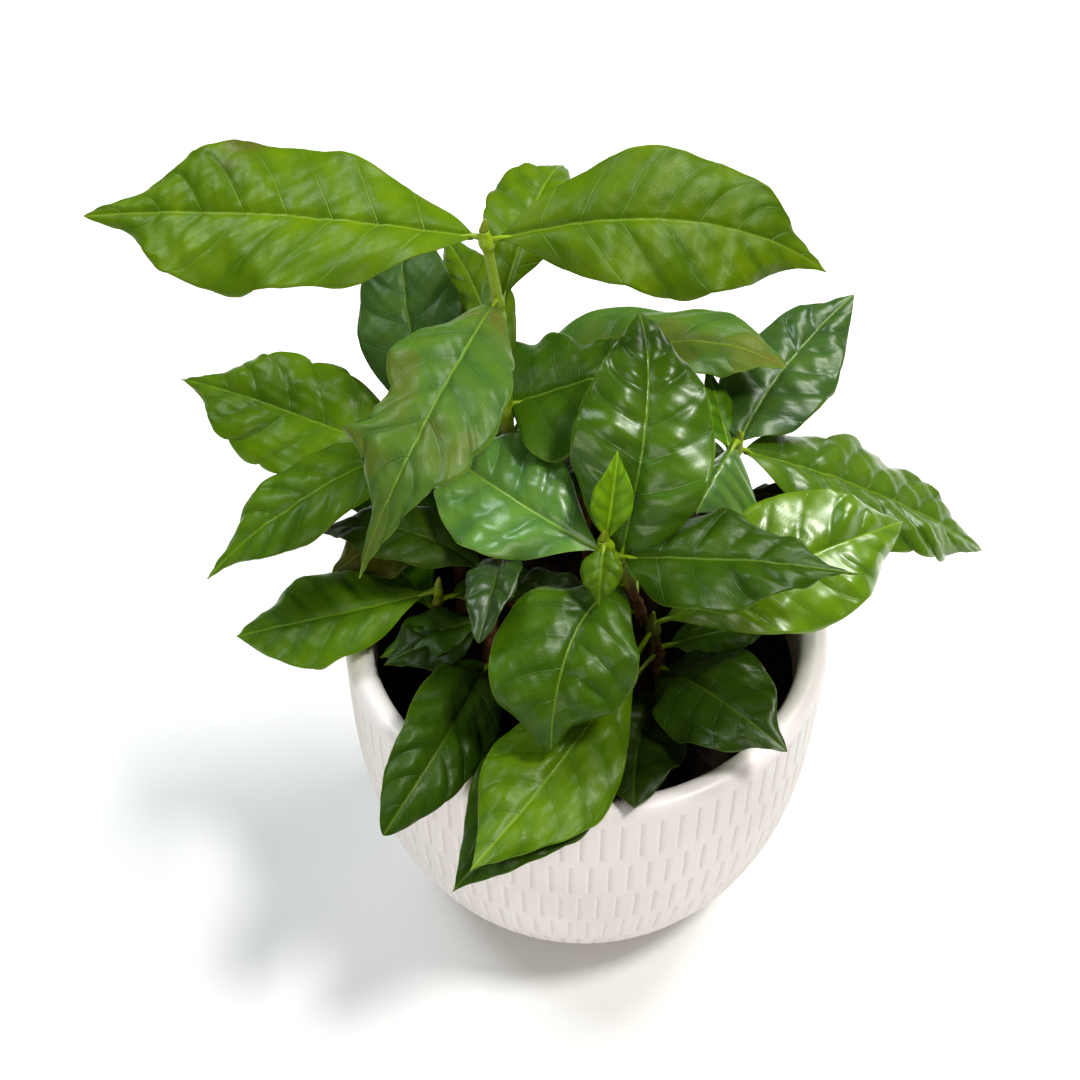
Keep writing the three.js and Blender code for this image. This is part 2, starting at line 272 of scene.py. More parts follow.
SHOOTS = [
    shoot("tall", (-22, 25), (-27.5, 30.5), 219, 5, 146, 2.3, 1.3, 154, [
        leaf(217, 166, -1, 17, 109, 45, "young", roll=-10, sway=-3, twist=-25, full=1, sharp=0.8, drip=0.55,
             gloss=0.28, tone=0.83, spots=((0.6, -1, 0.05, 0.9), (0.62, -0.6, 0.03, 0.4))),
        leaf(216, 0, 18, 65, 89, 40, "young", roll=20, sway=10, twist=23, sharp=1.1, drip=0.3, gloss=0.12,
             tone=0.71),
        leaf(199, 261, 27, 91, 92, 32, "worn", roll=-15, sway=-29, twist=32, full=1, sharp=1.1, lobes=0.07,
             drip=0.5, tone=1.1, spots=((0.12, 0.5, 0.1, 0.5), (0.9, 0, 0.15, 0.4)),
             bumps=((0.36, -1, 0.05, 0.14), (0.5, -1, 0.06, -0.12), (0.65, -1, 0.028, 0.38),
                    (0.8, -1, 0.07, -0.25), (0.45, 1, 0.09, 0.1), (0.76, 1, 0.05, -0.15), (0.88, 1, 0.03, 0.2))),
        leaf(194, 72, 37, 74, 58, 27, "young", roll=2, sway=3, twist=5, full=1.05, sharp=1.35, lobes=0.05,
             tone=0.8),
        leaf(161, 99, 17, 32, 67, 19, "young", roll=-16, sway=14, twist=-5, full=1.05, sharp=0.95, tone=0.85),
        leaf(149, 64, 17, 19, 80, 39, "worn", roll=-4, sway=-110, petiole=14, full=0.82, sharp=0.75, tone=1.2,
             spots=((1, 0, 0.14, 0.9),)),
        leaf(163, 8, 19, 38, 46, 45, "deep", roll=3, sway=20, twist=-4, petiole=2, full=0.45, sharp=0.6,
             gloss=0.2, tone=1.35),
    ]),
    shoot("centre", (19, -13), (3, -18), 156, 2, 121, 2.1, 1.3, 140, [
        leaf(154, 70, 70, 17, 24, 11, "fresh", roll=11, sway=12, twist=7, petiole=2, fold=0.5, quilt=1.5, tone=2),
        leaf(155, 264, 8, 90, 17, 11, "fresh", petiole=2, quilt=1.5),
        leaf(148, 158, 17, 52, 63, 37, "blue", roll=-19, sway=-47, twist=-10, full=1, quilt=1.3, gloss=0.85,
             tone=2.2),
        leaf(148, 342, 20, 33, 58, 35, "deep", roll=8, sway=16, twist=-17, full=0.7, drip=0.4, quilt=1.6,
             gloss=0.34, tone=0.8),
        leaf(144, 60, 72, 75, 67, 38, "deep", roll=-5, sway=42, twist=17, full=0.8, sharp=0.9, quilt=1.5,
             gloss=0.75, tone=1.4),
        leaf(137, 229, 27, 117, 55, 39, "deep", roll=4, sway=38, twist=-28, full=1.1, sharp=0.8, drip=0.45,
             quilt=1.5, gloss=0.44, tone=1.15),
        leaf(128, 84, 25, 40, 32, 22, "deep", tone=2.5),
        leaf(124, 214, 12, 40, 20, 15, "deep"),
    ]),
    shoot("front", (24, -21), (17.5, -16.2), 121, 1, 88, 2.1, 1.3, 118, [
        leaf(119, 355, 42, 74, 78, 39, "fresh", roll=19, sway=51, twist=16, full=1.05, sharp=1.15, quilt=2,
             gloss=1, tone=1.5),
        leaf(118, 239, -11, -8, 80, 35, "fresh", roll=-11, sway=-8, twist=6, full=1.3, drip=0.15, gloss=0.32,
             tone=1.14),
        leaf(109, 236, 5, 31, 73, 34, "deep", roll=-8, sway=-10, twist=3, petiole=18, full=1.2, tone=0.8),
        leaf(103, 294, 42, 57, 49, 32, "deep", roll=18, sway=26, twist=-6, sharp=0.8, drip=0.4, gloss=0.55,
             tone=0.55),
        leaf(97, 247, 17, 10, 46, 26, "deep", roll=5, sway=24, twist=-1, full=1, sharp=0.9, tone=0.35),
        leaf(110, 16, 10, 30, 28, 18, "deep"),
    ]),
    shoot("small", (-29, -12), (-24.5, -7.5), 139, 1.3, 93, 1.8, 1.2, 122, [
        leaf(95, 265, 40, 68, 71, 26, "deep", roll=-34, sway=-32, twist=-2, sharp=0.65, tone=0.75),
        leaf(130, 152, 25, 70, 52, 23, "mid", sway=12, gloss=0.1, tone=0.45),
        leaf(138, 271, 37, 64, 31, 15, "blue", roll=10, sway=-17, twist=12, full=0.7, sharp=0.65, fold=0.4,
             quilt=1.6, gloss=0.7, tone=0.5),
        leaf(121, 18, 3, 40, 26, 18, "deep", tone=0.7),
        leaf(114, 195, 5, 40, 27, 18, "deep", tone=0.8),
        leaf(111, 203, 14, 40, 26, 20, "deep", tone=0.4),
    ]),
    shoot("low_left", (-44, 0), (-42, -2), 119, 1, 99, 1.7, 1.1, 112, [
        leaf(117, 197, -3, 28, 55, 30, "mid", roll=-7, sway=-28, twist=-10, full=1.05, sharp=1.05, tone=1.45),
        leaf(112, 20, 10, 30, 26, 15, "deep"),
        leaf(105, 130, 24, 60, 32, 22, "deep", tone=3),
    ]),
    shoot("right", (31, 20), (42, 25), 150, 0.8, 103, 2, 1.2, 132, [
        leaf(147, 66, 6, -2, 62, 32, "blue", roll=-5, sway=-22, twist=16, full=0.75, sharp=0.9, quilt=1.4,
             gloss=0.6, tone=0.88),
        leaf(147, 8, -26, 21, 95, 36, "mid", roll=4, sway=3, twist=10, sharp=0.75, lobes=0.055, drip=0.3,
             quilt=1.4, gloss=0.8, tone=1.2),
        leaf(150, 248, 22, 60, 24, 30, "blue", sway=-10, fold=-0.9, gloss=1, tone=1.5),
        leaf(143, 108, 37, 15, 23, 14, "deep", roll=19, sway=-4, twist=16, petiole=5, full=0.8, tone=2),
        leaf(108, 25, 12, 55, 50, 28, "deep"),
        leaf(128, 8, 0, 10, 30, 8, "dried"),
        leaf(114, 100, 14, 55, 46, 26, "deep"),
    ]),
    shoot("left", (-36, 22), (-41.5, 30), 153, 0.8, 106, 2, 1.2, 136, [
        leaf(133, 170, 22, 49, 87, 37, "fresh", roll=-16, sway=-32, twist=-13, lobes=0.05, drip=0.3, gloss=0.36,
             tone=1.2),
        leaf(149, 210, 0, 51, 74, 26, "mid", roll=4, sway=-13, twist=-19, full=1, sharp=1.1, drip=0.45,
             gloss=0.36, tone=1.3),
        leaf(148, 117, 36, 18, 64, 31, "blue", roll=-21, sway=-33, twist=2, sharp=0.9, gloss=0.2, tone=0.8),
        leaf(118, 206, 5, 40, 34, 26, "olive"),
        leaf(122, 88, 20, 60, 62, 32, "deep"),
        leaf(112, 140, 12, 60, 58, 30, "deep"),
    ]),
    shoot("back", (2, 36), (-3, 42), 134, 1, 97, 1.9, 1.2, 120, [
        leaf(132, 80, 8, 58, 60, 32, "mid"),
        leaf(132, 262, 40, 45, 40, 26, "deep"),
        leaf(124, 345, 14, 52, 42, 28, "deep"),
        leaf(118, 160, 14, 55, 46, 28, "deep"),
        leaf(102, 75, 26, 60, 48, 26, "deep"),
    ]),
]
TINTS = ("young", "fresh", "mid", "deep", "blue", "olive", "worn", "dried")


# Shapes

def planter_radius(settings, z):
    """Outer radius of the planter at a height, or at several, in millimetres."""
    height, rim, foot = settings.height / MM, settings.rim_radius / MM, settings.foot_radius / MM
    rest = 1 - np.clip(np.asarray(z, float) / height, 0, 1)
    return foot + (rim - foot) * (1 - rest ** BELLY_POWER) ** (1 / SHOULDER_POWER)


def dash_ends(settings):
    """Heights of the upper and the lower ends of the dashes, row by row from the lip down."""
    tops = settings.dash_top / MM - settings.dash_pitch / MM * np.arange(settings.dash_rows)
    feet = tops - settings.dash_length / MM
    tops[0] += settings.dash_rise / MM
    return tops, feet


def planter_section(settings):
    """Radii and heights of the planter's section, from under its foot over its lip to the floor inside."""
    foot, wall = settings.foot_radius / MM, settings.wall / MM
    lip_base = settings.height / MM - LIP_RADIUS
    levels = list(FOOT_LEVELS)
    tops, feet = dash_ends(settings)
    for low, high in zip(feet[::-1], tops[::-1]):
        levels += [*(low + DASH_INSETS), *(low + (high - low) * DASH_MIDDLES), *(high - DASH_INSETS[::-1])]
    lines = [*FOOT_RECESS, (foot - 0.6, 0), (float(planter_radius(settings, 0.02)), 0.12)]
    lines += [(float(planter_radius(settings, z)), z) for z in levels]
    lip_centre = float(planter_radius(settings, lip_base)) - LIP_RADIUS
    for arc in np.linspace(0, math.pi, LIP_STEPS + 1):
        lines.append((lip_centre + LIP_RADIUS * math.cos(arc), lip_base + LIP_RADIUS * math.sin(arc)))
    inside = np.linspace(lip_base, FLOOR + 3, 9)[1:]
    lines += [(float(planter_radius(settings, z)) - wall, z) for z in inside]
    lines += [(float(planter_radius(settings, FLOOR)) - wall - 2, FLOOR), (20, FLOOR)]
    return np.array(lines).T


def dash_relief(settings, turn, radius, z):
    """How deep the wall is pressed in, which also sets the painted shade in a dash, and how near the crest beside a
    dash it is, where a highlight is painted, both from 0 to 1.
    """
    tops, feet = dash_ends(settings)
    row = np.floor((settings.dash_top / MM - z) / (settings.dash_pitch / MM))
    row = np.clip(row, 0, settings.dash_rows - 1).astype(int)
    pitch = 2 * math.pi / settings.dash_count
    beside = (turn - FIRST_DASH) / pitch - 0.5 * (row % 2)
    beside = beside - np.rint(beside)
    wide = 1 - np.clip(np.where(beside < 0, -beside / STEEP_SIDE, beside / GENTLE_SIDE), 0, 1)
    inside = np.clip(np.minimum(tops[row] - z, z - feet[row]) / DASH_END, 0, 1)
    inside = inside * (radius > planter_radius(settings, z) - OUTER_SKIN)
    return inside * wide ** 2 * (3 - 2 * wide), inside * np.exp(-((beside + CREST_PLACE) / CREST_WIDTH) ** 2)


def lumps(x, y):
    """How high the soil stands at points, in shares of its unevenness."""

    def height(a, b):
        return sum(share * noise.noise(Vector((a * fine, b * fine, shift))) for fine, shift, share in LUMP_WAVES)

    return np.array([height(a, b) for a, b in zip(x, y)])


def stem_point(plant, height):
    """Point of a seedling's axis at a height, or at several."""
    height = np.asarray(height, float)
    climb = np.clip((height - SOIL_LEVEL) / (plant.top - SOIL_LEVEL), 0, 1) ** plant.lean
    return np.stack([plant.foot[0] + (plant.tip[0] - plant.foot[0]) * climb,
                     plant.foot[1] + (plant.tip[1] - plant.foot[1]) * climb, height], -1)


def stem_radius(plant, height):
    """Radius of a seedling's stem: an even taper, and a root flare just above the soil."""
    climb = np.clip((height - SOIL_LEVEL) / (plant.top - SOIL_LEVEL), 0, 1)
    flare = FOOT_FLARE * np.clip(1 - (height - SOIL_LEVEL) / FLARE_HEIGHT, 0, None) ** 2
    return plant.foot_radius + (plant.tip_radius - plant.foot_radius) * climb + flare


def half_width(row, blade):
    """Half width of a blade along its length from 0 to 1, drawn in before its tip where the leaf has a drip tip."""
    even = row.width / 2 * np.sin(np.pi * np.clip(blade, 0, 1) ** row.full).clip(0) ** row.sharp
    drawn = np.clip((blade - DRIP_START) / DRIP_RUN, 0, 1)
    return even * (1 - row.drip * drawn ** 2 * (3 - 2 * drawn))


def leaf_frame(plant, row, share):
    """Points, side and upward directions of a leaf's midrib at shares of its length, petiole included."""

    def directions(at):
        late = np.clip(at - BEND_DELAY, 0, 1)
        slope = np.radians(row.rise - row.bend * late ** BEND_POWER)
        heading = np.radians(row.azimuth + row.sway * late)
        along = np.stack([np.cos(heading) * np.cos(slope), np.sin(heading) * np.cos(slope), np.sin(slope)], -1)
        return heading, along

    steps = np.linspace(0, 1, ARCH_STEPS + 1)
    _, ways = directions(steps)
    run = (row.petiole + row.length) / ARCH_STEPS
    path = np.concatenate([np.zeros((1, 3)), np.cumsum((ways[1:] + ways[:-1]) / 2 * run, 0)])
    path += stem_point(plant, row.height)
    points = np.stack([np.interp(share, steps, path[:, axis]) for axis in range(3)], -1)
    heading, along = directions(share)
    level = np.stack([-np.sin(heading), np.cos(heading), np.zeros_like(heading)], -1)
    upright = np.cross(along, level)
    roll = np.radians(row.roll + row.twist * share)[..., None]
    side = np.cos(roll) * level + np.sin(roll) * upright
    up = np.cos(roll) * upright - np.sin(roll) * level
    return points, side, up


def ripples(chance, x, y, lengths):
    """Smooth uneven waves of the given lengths over a blade, from -1 to 1."""
    total = 0
    for length in lengths:
        heading, start = chance.random(2) * 2 * math.pi
        total = total + np.sin((x * math.cos(heading) + y * math.sin(heading)) * 2 * math.pi / length + start)
    return total / len(lengths)


def blade_grid(row, settings):
    """Stations along a blade from 0 to 1, places across it from -1 to 1, and its pairs of side veins."""
    cell = settings.cell / MM
    pairs = int(np.clip(round(4.5 + row.length / 22), 5, 9))
    per_pair = max(6, 2 * round(row.length / pairs / cell / 2))
    half_columns = max(5, round(row.width / 2 / cell))
    station = np.linspace(0, 1, pairs * per_pair + 1)[:, None]
    across = np.linspace(-1, 1, 2 * half_columns + 1)
    return station, (np.sign(across) * np.abs(across) ** 1.15)[None, :], pairs


def sheet_faces(rows, columns):
    """Faces of a grid, and of the rim that joins it to a second grid under it."""
    index = np.arange(rows * columns).reshape(rows, columns)
    quads = np.stack([index[:-1, :-1], index[1:, :-1], index[1:, 1:], index[:-1, 1:]], -1).reshape(-1, 4)
    loop = np.concatenate([index[:-1, 0], index[-1, :-1], index[:0:-1, -1], index[0, :0:-1]])
    following = np.roll(loop, -1)
    count = rows * columns
    return quads, np.stack([following, loop, loop + count, following + count], -1)


def leaf_sheets(plant, row, settings, seed):
    """A blade as two sheets and its rim.

    It holds points and faces, for each corner of a face its vein coordinates and its place in the leaf's tile,
    for each face its sheet, and for each point its marks: a brightness that is partly the leaf's own colour and
    partly painted light and shade, gloss, how near the margin it is, and scorch.
    """
    chance = np.random.default_rng(seed)
    station, across, pairs = blade_grid(row, settings)
    edge = np.abs(across)
    blade = station + VEIN_LEAN * station * (1 - station) * (edge * 0.75 + edge ** 3 * 0.25)
    phase = station * pairs
    sector = np.minimum(phase.astype(int), pairs - 1)
    right = (across > 0).astype(int)
    swell = 0.3 + 1.4 * chance.random((2, pairs))[right, sector] ** 1.5
    ends = np.sin(np.pi * station) ** 0.5
    bulge = np.sin(np.pi * (phase - sector)).clip(0) ** 0.7

    half = half_width(row, blade) * (1 + row.lobes * ends * (1.6 * bulge * swell - 1))
    for along, margin, size, height in row.bumps:
        half = half * (1 + height * np.exp(-((blade - along) / size) ** 2) * (np.sign(across) == margin))
    half = np.maximum(half, np.where(station < 0.5, PETIOLE_WIDTH / 2 * 0.9, 0.12))
    aside = across * half

    lift = half * (row.fold * edge - DROOP * edge ** 2)
    ruffle = np.minimum(1, half / (MARGIN_FADE * row.width)) * row.width * MARGIN_WAVE
    lag = np.where(across > 0, 0, MARGIN_LAG)
    lift = lift + ruffle * edge ** MARGIN_POWER * np.sin(2 * np.pi * WAVES * blade + lag)
    quilting = settings.quilting / MM * row.quilt * np.minimum(1, half / FULL_QUILTING)
    lift = lift + quilting * swell * bulge * ends * np.sin(np.pi * edge)
    lift = lift + 0.01 * row.width * edge ** 3 * ends * np.sin(2 * np.pi * phase + 6 * chance.random())
    unevenness = ripples(chance, aside, blade * row.length, LONG_RIPPLES)
    unevenness = unevenness + 0.3 * ripples(chance, aside, blade * row.length, SHORT_RIPPLES)
    lift = lift + settings.unevenness / MM * unevenness * ends * np.minimum(1, half / FULL_RIPPLES)
    lift = lift - GROOVE_DEPTH * np.exp(-(aside / GROOVE_WIDTH) ** 2) * (1 - station) ** 0.5

    start = row.petiole / 2
    share = (start + blade * (row.petiole + row.length - start)) / (row.petiole + row.length)
    points, side, up = leaf_frame(plant, row, share)
    top = points + side * aside[..., None] + up * lift[..., None]
    rib = RIB_DEPTH * np.exp(-(aside / RIB_WIDTH) ** 2) * (1 - 0.75 * station)
    thickness = settings.thickness / MM * (1 - 0.35 * edge)
    bottom = top - up * (thickness + rib)[..., None]

    grid = half.shape
    count = half.size
    quads, rim = sheet_faces(*grid)
    faces = np.concatenate([quads, quads[:, ::-1] + count, rim])
    flat = np.stack([aside / 10, np.broadcast_to(phase, grid)], -1).reshape(-1, 2)
    tile = np.stack([np.broadcast_to((across + 1) / 2, grid), np.broadcast_to(station, grid)], -1).reshape(-1, 2)
    tile = 0.5 + (tile - 0.5) * TILE_SHARE
    rim_tile = tile[rim % count]
    rim_tile[:, 2:] = 0.5 + (rim_tile[:, 2:] - 0.5) * TILE_RIM
    marks = np.empty((*grid, 4))
    marks[..., 0], marks[..., 1], marks[..., 2], marks[..., 3] = row.tone, row.gloss, edge, 0
    for along, beside, size, strength in row.spots:
        marks[..., 3] += strength * np.exp(-((blade - along) / size) ** 2 - ((across - beside) / (4 * size)) ** 2)
    return SimpleNamespace(
        points=np.concatenate([top.reshape(-1, 3), bottom.reshape(-1, 3)]),
        faces=faces,
        veins=np.concatenate([flat, flat])[faces],
        tiles=np.concatenate([tile[quads], tile[quads[:, ::-1]], rim_tile]),
        sheet=np.concatenate([np.zeros(len(quads), int), np.ones(len(quads) + len(rim), int)]),
        marks=np.tile(marks.reshape(-1, 4), (2, 1)),
    )


def tube(points, radii, side, up, sides, ridge=0):
    """A closed tube of rings: its points and faces. ridge adds to the radius at each ring and side."""
    turn = np.linspace(0, 2 * np.pi, sides, endpoint=False)
    radii = np.asarray(radii)[:, None] + ridge
    rings = (points[:, None] + side[:, None] * (np.cos(turn) * radii)[..., None]
             + up[:, None] * (np.sin(turn) * radii)[..., None])
    index = np.arange(len(points) * sides).reshape(len(points), sides)
    after = np.roll(index, -1, 1)
    quads = np.stack([index[:-1], after[:-1], after[1:], index[1:]], -1).reshape(-1, 4).tolist()
    return rings.reshape(-1, 3), quads + [index[0, ::-1].tolist(), index[-1].tolist()]


def upright_tube(points, radii, sides, ridge=0):
    """A closed tube whose rings lie level."""
    side = np.tile([[1.0, 0, 0]], (len(points), 1))
    return tube(points, radii, side, np.roll(side, 1, 1), sides, ridge)


def bark_ridges(plant, heights, sides, ridge):
    """Ridges that run up the bark and break, one value for each ring and side."""
    values = np.empty((len(heights), sides))
    for i, height in enumerate(heights):
        for j in range(sides):
            turn = 2 * math.pi * j / sides
            at = Vector((3 * math.cos(turn), 3 * math.sin(turn), height * 0.35 + plant.top))
            values[i, j] = noise.noise(at) + 0.5 * noise.noise(at * 2.3)
    return values * ridge / MM


def stem_tube(plant, bottom, top, spacing, sides, swelling, ridge):
    """A stem between two heights, swollen where leaves leave it: the heights of its rings, its points and faces."""
    heights = np.linspace(bottom, top, max(4, round((top - bottom) / spacing)) + 1)
    radii = stem_radius(plant, heights)
    for row in plant.leaves:
        radii = radii + swelling / MM * np.exp(-((heights - row.height + 1) / 1.5) ** 2)
    ridges = bark_ridges(plant, heights, sides, ridge)
    return heights, *upright_tube(stem_point(plant, heights), radii, sides, ridges)


def bud_tube(plant):
    """The bud at the tip of a seedling."""
    along = np.linspace(0, 1, BUD_STEPS)
    points = stem_point(plant, plant.top) + np.outer(along, BUD_REACH)
    return upright_tube(points, BUD_RADIUS * np.sqrt(1 - along * 0.97), PETIOLE_SIDES)


def petiole_tube(plant, row):
    """A petiole, which runs on under the midrib and sinks away in the blade."""
    along = np.linspace(0, 1, PETIOLE_STEPS)
    reach = row.petiole / 2 + PETIOLE_RUN_ON
    points, side, up = leaf_frame(plant, row, along * reach / (row.petiole + row.length))
    radii = 0.85 - 0.6 * along + 0.35 * np.exp(-along * 8)
    sunk = np.clip((along * reach - row.petiole / 2) / PETIOLE_SINK, 0, 1)
    return tube(points - up * (0.1 + sunk)[:, None], radii, side, up, PETIOLE_SIDES)


def merge(parts):
    """Joins (points, faces, age) parts into one."""
    points, faces, ages, start = [], [], [], 0
    for part_points, part_faces, age in parts:
        points.append(part_points)
        faces += [[corner + start for corner in face] for face in part_faces]
        ages.append(np.broadcast_to(age, len(part_points)))
        start += len(part_points)
    return np.concatenate(points), faces, np.concatenate(ages)


# Meshes and objects

def new_piece(name, points, faces, materials):
    """A piece from points in millimetres, smooth, with its place in its mesh."""
    mesh = bpy.data.meshes.new(name)
    mesh.from_pydata((np.asarray(points) * MM).tolist(), [], faces)
    for material in materials:
        mesh.materials.append(material)
    mesh.shade_smooth()
    mesh.update()
    piece = bpy.data.objects.new(name, mesh)
    bpy.context.scene.collection.objects.link(piece)
    return piece


def settle(piece, slot, *nodes):
    """The piece rides on the plant's one body and stands for CAD nodes, which it hides; slot is not used."""
    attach(piece, BODY)
    if nodes:
        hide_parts(*nodes)


def set_values(piece, name, values):
    """Keeps one number for each point, which the material reads by its name."""
    kept = piece.data.attributes.new(name, "FLOAT", "POINT")
    kept.data.foreach_set("value", np.asarray(values, np.float32))


def point_places(mesh):
    """Places of a mesh's points, in metres."""
    places = np.empty(len(mesh.vertices) * 3)
    mesh.vertices.foreach_get("co", places)
    return places.reshape(-1, 3)


def turned_grid(name, columns, lines, shape, material):
    """A grid wound round the Z axis, its seam joined and its two holes closed.

    shape(column, line) gives turn, radius and height, in millimetres, for arrays of column and line numbers.
    """
    bpy.ops.object.select_all(action="DESELECT")
    bpy.ops.mesh.primitive_grid_add(x_subdivisions=columns, y_subdivisions=lines - 1, size=2, location=(0, 0, 0))
    piece = bpy.context.object
    piece.name = piece.data.name = name
    places = point_places(piece.data)
    column = np.rint((places[:, 0] + 1) / 2 * columns).astype(int) % columns
    line = np.rint((places[:, 1] + 1) / 2 * (lines - 1)).astype(int)
    turn, radius, height = shape(column, line)
    moved = np.stack([radius * np.cos(turn), radius * np.sin(turn), height], -1) * MM
    piece.data.vertices.foreach_set("co", moved.ravel())
    bpy.ops.object.mode_set(mode="EDIT")
    bpy.ops.mesh.select_all(action="SELECT")
    bpy.ops.mesh.remove_doubles(threshold=1e-6)
    bpy.ops.mesh.select_all(action="DESELECT")
    bpy.ops.mesh.select_non_manifold()
    bpy.ops.mesh.fill_holes(sides=0)
    bpy.ops.mesh.select_all(action="SELECT")
    bpy.ops.mesh.normals_make_consistent(inside=False)
    bpy.ops.object.mode_set(mode="OBJECT")
    piece.data.materials.append(material)
    piece.data.shade_smooth()
    return piece


# Materials

def node(tree, kind, inputs=None, **settings):
    """A node with its settings, and its inputs set to values or linked to sockets."""
    made = tree.nodes.new(kind)
    for key, value in settings.items():
        setattr(made, key, value)
    for socket, value in (inputs or {}).items():
        if isinstance(value, bpy.types.NodeSocket):
            tree.links.new(value, made.inputs[socket])
        else:
            made.inputs[socket].default_value = value
    return made


def arithmetic(tree, operation, first, second=0.0):
    return node(tree, "ShaderNodeMath", {0: first, 1: second}, operation=operation).outputs[0]


def fade(tree, value, start, end, low=0.0, high=1.0):
    """Smooth step of a value from low at start to high at end."""
    step = node(tree, "ShaderNodeMapRange", {"Value": value, "From Min": start, "From Max": end, "To Min": low,
                                             "To Max": high}, interpolation_type="SMOOTHSTEP")
    return step.outputs["Result"]


def blend(tree, factor, first, second, mode="MIX"):
    mix = node(tree, "ShaderNodeMix", {0: factor, 6: first, 7: second}, data_type="RGBA", blend_type=mode)
    return mix.outputs[2]


def layer(tree, mask, share, under, over):
    """One colour laid over another where a mask is, at a share of the mask's strength."""
    return blend(tree, arithmetic(tree, "MULTIPLY", mask, share), under, over)


def noise_texture(tree, place, scale, detail):
    """Cloudy noise, from 0 to 1."""
    return node(tree, "ShaderNodeTexNoise", {"Vector": place, "Scale": scale, "Detail": detail}).outputs[0]


def solid(colour, share=1.0):
    """A colour socket's value, at a share of its brightness."""
    return (colour[0] * share, colour[1] * share, colour[2] * share, 1)


def new_group(name, inputs, outputs):
    """A shader node group with number inputs (name: default) and number outputs."""
    group = bpy.data.node_groups.new(name, "ShaderNodeTree")
    for socket, default in inputs.items():
        group.interface.new_socket(socket, in_out="INPUT", socket_type="NodeSocketFloat").default_value = default
    for socket in outputs:
        group.interface.new_socket(socket, in_out="OUTPUT", socket_type="NodeSocketFloat")
    return group, group.nodes.new("NodeGroupInput"), group.nodes.new("NodeGroupOutput")


def mottle_group():
    """Soft and fine cloudiness over any surface, for glaze, bark, soil and leaves."""
    name = "Mottle"
    if name in bpy.data.node_groups:
        return bpy.data.node_groups[name]
    group, given, out = new_group(name, {"Scale": 100.0}, ("Soft", "Fine"))
    place = node(group, "ShaderNodeTexCoord").outputs["Object"]
    soft = noise_texture(group, place, given.outputs["Scale"], 3.0)
    fine = noise_texture(group, place, arithmetic(group, "MULTIPLY", given.outputs["Scale"], 9.0), 4.0)
    group.links.new(fade(group, soft, 0.3, 0.7), out.inputs["Soft"])
    group.links.new(fade(group, fine, 0.3, 0.7), out.inputs["Fine"])
    return group


def mottle(tree, scale):
    """The mottle in a material, at its own scale."""
    return node(tree, "ShaderNodeGroup", {"Scale": scale}, node_tree=mottle_group()).outputs


def vein_group():
    """Midrib, side veins and fine network of a blade, from its vein coordinates."""
    name = "Blade veins"
    if name in bpy.data.node_groups:
        return bpy.data.node_groups[name]
    outputs = ("Midrib", "Veins", "Panel", "Network", "Grain")
    group, given, out = new_group(name, {"Midrib": 0.06, "Vein": 0.1}, outputs)
    coordinates = node(group, "ShaderNodeUVMap", uv_map="Veins").outputs[0]
    aside, along, _ = node(group, "ShaderNodeSeparateXYZ", {0: coordinates}).outputs
    aside = arithmetic(group, "ABSOLUTE", aside)
    midway = arithmetic(group, "SUBTRACT", arithmetic(group, "FRACT", along), 0.5)
    away = arithmetic(group, "MULTIPLY", arithmetic(group, "ABSOLUTE", midway), 2.0)
    near = arithmetic(group, "SUBTRACT", 1.0, away)
    vein = fade(group, near, given.outputs["Vein"], 0.0)
    faint = fade(group, aside, 0.3, 2.0, 1.0, 0.35)
    place = node(group, "ShaderNodeTexCoord").outputs["Object"]
    cells = node(group, "ShaderNodeTexVoronoi", {"Vector": place, "Scale": 620.0}, feature="DISTANCE_TO_EDGE")
    stretched = node(group, "ShaderNodeVectorMath", {0: coordinates, 1: (3.0, 26.0, 1.0)}, operation="MULTIPLY")
    group.links.new(fade(group, aside, given.outputs["Midrib"], 0.02), out.inputs["Midrib"])
    group.links.new(arithmetic(group, "MULTIPLY", vein, faint), out.inputs["Veins"])
    # Panel is 0 on a side vein and 1 midway between two; the leaves paint light there and shade along the veins.
    group.links.new(fade(group, near, 0.0, 0.9), out.inputs["Panel"])
    group.links.new(fade(group, cells.outputs[0], 0.12, 0.0), out.inputs["Network"])
    group.links.new(noise_texture(group, stretched.outputs[0], 1.0, 4.0), out.inputs["Grain"])
    return group


def new_material(name):
    """A material with an empty tree: the material, its tree, and its Principled shader."""
    material = bpy.data.materials.new(name)
    material.use_nodes = True
    tree = material.node_tree
    tree.nodes.clear()
    shader = node(tree, "ShaderNodeBsdfPrincipled")
    output = node(tree, "ShaderNodeOutputMaterial")
    tree.links.new(shader.outputs[0], output.inputs[0])
    return material, tree, shader


def bump(tree, shader, height, strength, distance):
    made = node(tree, "ShaderNodeBump", {"Strength": strength, "Distance": distance, "Height": height})
    tree.links.new(made.outputs[0], shader.inputs["Normal"])


def roughen(tree, shader, mask, low, high):
    """Roughness that goes from low to high with a mask."""
    tree.links.new(fade(tree, mask, 0.0, 1.0, low, high), shader.inputs["Roughness"])


